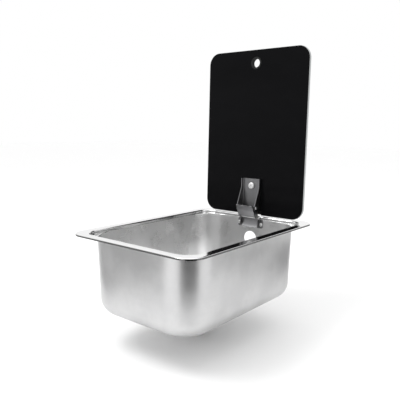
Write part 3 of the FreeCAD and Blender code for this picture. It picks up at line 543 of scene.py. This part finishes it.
class Paint:
    """A material built on one Principled shader, with the object's coordinates at hand."""

    def __init__(self, name, **fixed):
        self.material = bpy.data.materials.new(name)
        self.material.use_nodes = True
        self.tree = self.material.node_tree
        self.shader = next(n for n in self.tree.nodes if n.type == "BSDF_PRINCIPLED")
        for key, value in fixed.items():
            self.shader.inputs[key.replace("_", " ")].default_value = value
        self.place = self.add("ShaderNodeTexCoord", {}, {}, "Object")
        split = add_node(self.tree, "ShaderNodeSeparateXYZ", {}, {0: self.place})
        self.x, self.y, self.z = (Wire(self.tree, split.outputs[i]) for i in range(3))

    def add(self, kind, settings, sockets, output=0):
        """One output of a new node."""
        return Wire(self.tree, add_node(self.tree, kind, settings, sockets).outputs[output])

    def noise(self, scale, detail=3.0, stretch=(1, 1, 1), rough=0.55):
        """Noise in object space; stretch is how many times finer it runs along each axis."""
        sized = self.add("ShaderNodeVectorMath", {"operation": "MULTIPLY"}, {0: self.place, 1: stretch})
        sockets = {"Vector": sized, "Scale": scale, "Detail": detail, "Roughness": rough}
        return self.add("ShaderNodeTexNoise", {}, sockets, "Fac")

    def blend(self, share, first, second):
        """A colour that goes from first to second with share."""
        first, second = (c if isinstance(c, Wire) else (*c, 1.0) for c in (first, second))
        sockets = {MIX_SHARE: share, MIX_FIRST: first, MIX_SECOND: second}
        return self.add("ShaderNodeMix", {"data_type": "RGBA"}, sockets, MIX_RESULT)

    def feed(self, name, wire):
        """Links a wire to a socket of the shader."""
        self.tree.links.new(wire.socket, self.shader.inputs[name])
        return self

    def bump(self, height, depth, strength):
        """Roughens the surface by a height whose full step is a depth in millimetres."""
        sockets = {"Strength": strength, "Distance": depth * MM, "Height": height}
        return self.feed("Normal", self.add("ShaderNodeBump", {}, sockets))


def grey(level):
    """A neutral colour."""
    return (level, level, level)


# Finishes

def stainless_paint(name, dark, light, satin, polish_from):
    """Satin drawn sheet with level streaks, clouds and stains, polished above a height, with painted shade on
    the lip: a dark grey in place of the lip's shade and dark reflections.

    The lip is found by the distance from the flange's corner centres: the root of x squared plus y squared,
    where x and y count only past those centres.
    """
    p = Paint(name, Metallic=1.0)
    streak = p.noise(scale=1.0, detail=4.0, stretch=(30, 30, 2600), rough=0.6)
    cloud = p.noise(scale=16.0, detail=4.0).step(0.3, 0.7)
    stain = p.noise(scale=45.0, detail=5.0, stretch=(1.0, 1.0, 0.5), rough=0.7).step(0.55, 0.8)
    flange = p.z.step(polish_from * MM, (polish_from + POLISH_FADE) * MM)
    sheet = p.blend(cloud * 0.6 + streak * 0.4 - stain * 0.25, dark, light)
    past_x, past_y = (wire.past((half - FLANGE[2]) * MM) for wire, half in zip((p.x, p.y), FLANGE))
    outwards = (past_x * past_x + past_y * past_y).root()
    # painted shade: darkens the lip in place of its shade and dark reflections
    lip = outwards.step(*((FLANGE[2] - inside) * MM for inside in LIP_PAINTED_SHADE_BAND))
    p.feed("Base Color", p.blend(lip, p.blend(flange, sheet, grey(POLISH_GREY)), grey(LIP_PAINTED_SHADE_GREY)))
    rough = satin + streak * 0.05 + cloud * 0.05
    p.feed("Roughness", rough - flange * (rough - POLISH_ROUGH))
    return p.bump(streak * (1.0 - flange) + cloud * 3.0, depth=0.02, strength=0.35).material


def glass_paint():
    """Black glass with faint wiped smears in its roughness."""
    p = Paint("black_glass", IOR=1.5, Specular_IOR_Level=0.03)
    smear = p.noise(scale=9.0, detail=5.0, stretch=(1.0, 1.0, 2.2), rough=0.65)
    p.feed("Base Color", p.blend(smear, (0.003, 0.003, 0.0034), (0.0055, 0.0055, 0.006)))
    return p.feed("Roughness", 0.06 + smear.step(0.45, 0.8) * 0.05).material


def ground_paint():
    """The lid's ground edge: a pale, fine-grained grey."""
    p = Paint("ground_edge", IOR=1.5)
    grain = p.noise(scale=2400.0, detail=2.0)
    p.feed("Base Color", p.blend(grain, (0.3, 0.31, 0.31), (0.46, 0.47, 0.47)))
    return p.feed("Roughness", 0.35 + grain * 0.2).bump(grain, depth=0.02, strength=0.4).material


def steel_paint(name, dark, light, rough, stretch):
    """Bright sheet or turned steel: fine streaks, and slightly duller patches."""
    p = Paint(name, Metallic=1.0)
    streak = p.noise(scale=1.0, stretch=stretch, rough=0.6)
    wear = p.noise(scale=160.0, detail=4.0)
    p.feed("Base Color", p.blend(streak * 0.6 + wear * 0.4, dark, light))
    p.feed("Roughness", rough + streak * 0.08 + wear * 0.06)
    return p.bump(streak, depth=0.01, strength=0.3).material


def clear_silicone_paint():
    """Clear silicone with a slight haze in colour and roughness."""
    p = Paint("clear_silicone", IOR=1.41, Transmission_Weight=0.75)
    haze = p.noise(scale=500.0)
    p.feed("Base Color", p.blend(haze, (0.82, 0.83, 0.82), (0.93, 0.93, 0.92)))
    return p.feed("Roughness", 0.22 + haze * 0.2).material


def moulded_paint(name, dark, light, rough, scale, depth, shine=0.5):
    """Moulded rubber, foam or plastic: a fine grain in colour, roughness and bump, over a broader mottle."""
    p = Paint(name, Specular_IOR_Level=shine)
    grain = p.noise(scale, detail=4.0)
    mottle = p.noise(scale / 12)
    p.feed("Base Color", p.blend(grain * 0.5 + mottle * 0.5, dark, light))
    return p.feed("Roughness", rough + grain * 0.15).bump(grain, depth, strength=0.5).material


def board_paint(name, colour):
    """A studio board's matt paint, very slightly clouded."""
    p = Paint(name, Roughness=BOARD_ROUGH)
    cloud = p.noise(scale=3.0, detail=2.0)
    return p.feed("Base Color", p.blend(cloud, tuple(BOARD_CLOUD * c for c in colour), colour)).material


paints = {
    # the outer faces' sheet; the inner faces get a brighter copy as painted light
    "stainless": stainless_paint(
        "stainless", (0.52, 0.52, 0.525), grey(0.66), satin=0.3, polish_from=-0.2),
    "black_glass": glass_paint(),
    "hinge_steel": steel_paint(
        "hinge_steel", (0.17, 0.17, 0.175), (0.24, 0.24, 0.245), rough=0.26, stretch=(2200, 60, 60)),
    "bright_steel": steel_paint(
        "bright_steel", grey(0.8), grey(0.92), rough=0.24, stretch=(900, 900, 900)),
    "strainer_steel": steel_paint(
        "strainer_steel", grey(0.6), grey(0.74), rough=0.14, stretch=(300, 300, 300)),
    "silicone": clear_silicone_paint(),
    "black_rubber": moulded_paint(
        "black_rubber", grey(0.008), grey(0.016), rough=0.5, scale=1800.0, depth=0.02, shine=0.12),
    "foam": moulded_paint(
        "foam", grey(0.03), grey(0.075), rough=0.75, scale=1200.0, depth=0.15),
    "nylon": moulded_paint(
        "nylon", (0.74, 0.73, 0.69), (0.84, 0.83, 0.79), rough=0.35, scale=900.0, depth=0.01),
    "waste_plastic": moulded_paint(
        "waste_plastic", (0.022, 0.022, 0.023), (0.045, 0.045, 0.046), rough=0.38, scale=1500.0, depth=0.03),
}
ground_edge = ground_paint()
# painted highlight: near-white paint on the hinge plates' broken edges in place of the light they catch
edge_painted_highlight = steel_paint("edge_painted_highlight", grey(0.9), grey(0.98), rough=0.5, stretch=(600, 600, 600))
# painted light: the inner and upward faces' copy of the sheet is painted brighter, with the bowl's own satin
# roughness
bowl_satin_painted_light = stainless_paint("bowl_satin_painted_light", grey(0.76), grey(0.86), satin=0.24, polish_from=-4.0)


# Pieces

def face_values(obj, key):
    """A vector of every face, as rows."""
    values = np.empty(len(obj.data.polygons) * 3)
    obj.data.polygons.foreach_get(key, values)
    return values.reshape(-1, 3)


def second_paint(obj, paint, chosen):
    """Gives the chosen faces of a dressed piece another paint."""
    obj.data.materials.append(paint)
    obj.data.polygons.foreach_set("material_index", chosen.astype(np.int32))


def dress(obj, slot, body, *replaced):
    """Gives a piece its paint, the body that it rides on and the nodes that it stands for."""
    obj.data.materials.clear()
    obj.data.materials.append(paints[slot])
    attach(obj, body)
    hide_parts(*replaced)
    return obj


def make_basin():
    """The drawn sheet with its holes; faces that look inwards or upwards have the bowl's satin, painted
    brighter as painted light.
    """
    basin = tube_object("basin_sheet", basin_rows())
    screw_places = ((x, 0, -WALL_SCREW_DROP) for x in (-WALL_SCREW_X, WALL_SCREW_X))
    cut(basin,
        bore("overflow_cutter", OVERFLOW_RADIUS, WALL_CUT, (0, 0, -OVERFLOW_DROP), on_wall),
        *(bore("screw_cutter", WALL_SCREW_BORE, WALL_CUT, place, on_wall) for place in screw_places))
    dress(crease(basin, degrees=30), "stainless", "basin", "basin")
    normals = face_values(basin, "normal")
    towards_middle = (normals * face_values(basin, "center"))[:, :2].sum(1) < 0
    # painted light: inner and upward faces get the brighter copy of the sheet's paint
    second_paint(basin, bowl_satin_painted_light, towards_middle | (normals[:, 2] > PAINTED_LIGHT_FACING_UP))


def make_lid():
    """The glass with its holes and hinge cut-out; every face but the two polished ones is ground."""
    lid = tube_object("lid_sheet", lid_rows(), False)
    behind = LID_THICK + CUT_PAST
    cut(lid,
        bore("finger_cutter", FINGER_BORE, behind, (0, 0, FINGER_UP), on_lid),
        bore("screw_cutter", LID_SCREW_BORE, behind, (0, 0, LID_SCREW_UP), on_lid),
        lid_notch())
    dress(crease(lid, degrees=15), "black_glass", "lid", "lid_glass")
    glass_normal = np.array([0, math.cos(LID_TILT), -math.sin(LID_TILT)])
    second_paint(lid, ground_edge, np.abs(face_values(lid, "normal") @ glass_normal) <= FACE_COSINE)


def make_finger_ring():
    """The moulded ring in the lid's finger hole."""
    ring = tube_object("finger_ring_moulded", ring_rows())
    dress(crease(ring, degrees=40), "black_rubber", "lid", "finger_ring")


def make_screws():
    """The lid bracket's screw and the wall bracket's two, each with its head on its bracket."""
    place = (0, -LID_GASKET - HINGE_SHEET, LID_SCREW_UP)
    dress(screw_head("lid_screw_head", LID_SCREW, place, on_lid), "bright_steel", "lid", "lid_screw")
    for name, x in (("wall_screw_left", -WALL_SCREW_X), ("wall_screw_right", WALL_SCREW_X)):
        place = (x, -HINGE_SHEET, -WALL_SCREW_DROP)
        dress(screw_head(name, WALL_SCREW, place, on_wall), "bright_steel", "basin", "wall_screws")


def make_hinge():
    """The hinge's folded plates, with painted highlights on their broken edges, and its two pins."""
    for name, body, width in HINGE_PLATES:
        plate = dress(softened(name, width, edge_slot=1), "hinge_steel", body, name)
        # painted highlight on the broken edges
        plate.data.materials.append(edge_painted_highlight)
    for name, body in (("knee_pin", "link"), ("wall_pin", "basin")):
        dress(softened(name, PIN_EDGE), "bright_steel", body, name)


def paint_nodes():
    """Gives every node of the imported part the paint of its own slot."""
    slots = {part["node"]: part["material_slot"] for part in frame["record"]["subparts"]}
    for name, obj in nodes.items():
        obj.data.materials.clear()
        obj.data.materials.append(paints[slots[name]])


make_basin()
make_lid()
make_finger_ring()
make_screws()
make_hinge()
paint_nodes()


# Studio

def board(name, corners, colour, shown=False):
    """A flat board of the studio, given by its four corners."""
    mesh = bpy.data.meshes.new(name)
    mesh.from_pydata(corners, [], [(0, 1, 2, 3)])
    mesh.materials.append(board_paint(name, colour))
    obj = bpy.data.objects.new(name, mesh)
    bpy.context.scene.collection.objects.link(obj)
    obj.visible_camera = shown
    obj.visible_diffuse = shown
    obj.visible_shadow = shown


def upright(name, toward, distance, width, low, high, level):
    """A board that stands square to its direction from the sink."""
    turn = math.radians(toward)
    middle = np.array([math.cos(turn), math.sin(turn)]) * distance
    side = np.array([-math.sin(turn), math.cos(turn)]) * width / 2
    ends = (middle - side, middle + side)
    lower = [(x, y, FLOOR + low) for x, y in ends]
    upper = [(x, y, FLOOR + high) for x, y in reversed(ends)]
    board(name, lower + upper, grey(level))


def lamp(name, place, target, width, power):
    """A round soft lamp that shines at a point."""
    light = bpy.data.lights.new(name, "AREA")
    light.shape = "DISK"
    light.size = width
    light.energy = power
    obj = bpy.data.objects.new(name, light)
    bpy.context.scene.collection.objects.link(obj)
    obj.location = place
    obj.rotation_euler = (Vector(target) - Vector(place)).to_track_quat("-Z", "Y").to_euler()


def white_world():
    """A white world of strength 1 all round."""
    world = bpy.data.worlds.new("studio")
    bpy.context.scene.world = world
    world.use_nodes = True
    background = next(n for n in world.node_tree.nodes if n.type == "BACKGROUND")
    background.inputs["Color"].default_value = (1, 1, 1, 1)
    background.inputs["Strength"].default_value = 1.0


def place_camera():
    """The camera, turned to its bearing, tipped down and rolled."""
    data = bpy.data.cameras.new("camera")
    data.sensor_width = CAMERA_SENSOR
    data.lens = CAMERA_LENS
    data.clip_start = CAMERA_CLIP
    camera = bpy.data.objects.new("camera", data)
    bpy.context.scene.collection.objects.link(camera)
    turn = Matrix.Rotation(math.radians(90 + CAMERA_BEARING), 4, "Z")
    tip = Matrix.Rotation(math.radians(90 - CAMERA_TIP), 4, "X")
    roll = Matrix.Rotation(math.radians(CAMERA_ROLL), 4, "Z")
    camera.matrix_world = Matrix.Translation(CAMERA_PLACE) @ turn @ tip @ roll
    bpy.context.scene.camera = camera


floor_corners = [(x * FLOOR_HALF, y * FLOOR_HALF, FLOOR) for x, y in ((-1, -1), (1, -1), (1, 1), (-1, 1))]
board("floor", floor_corners, grey(1.0), shown=True)
for row in BOARDS:
    upright(*row)
for row in LAMPS:
    lamp(*row)
white_world()
place_camera()
bpy.context.scene.view_settings.view_transform = "Standard"
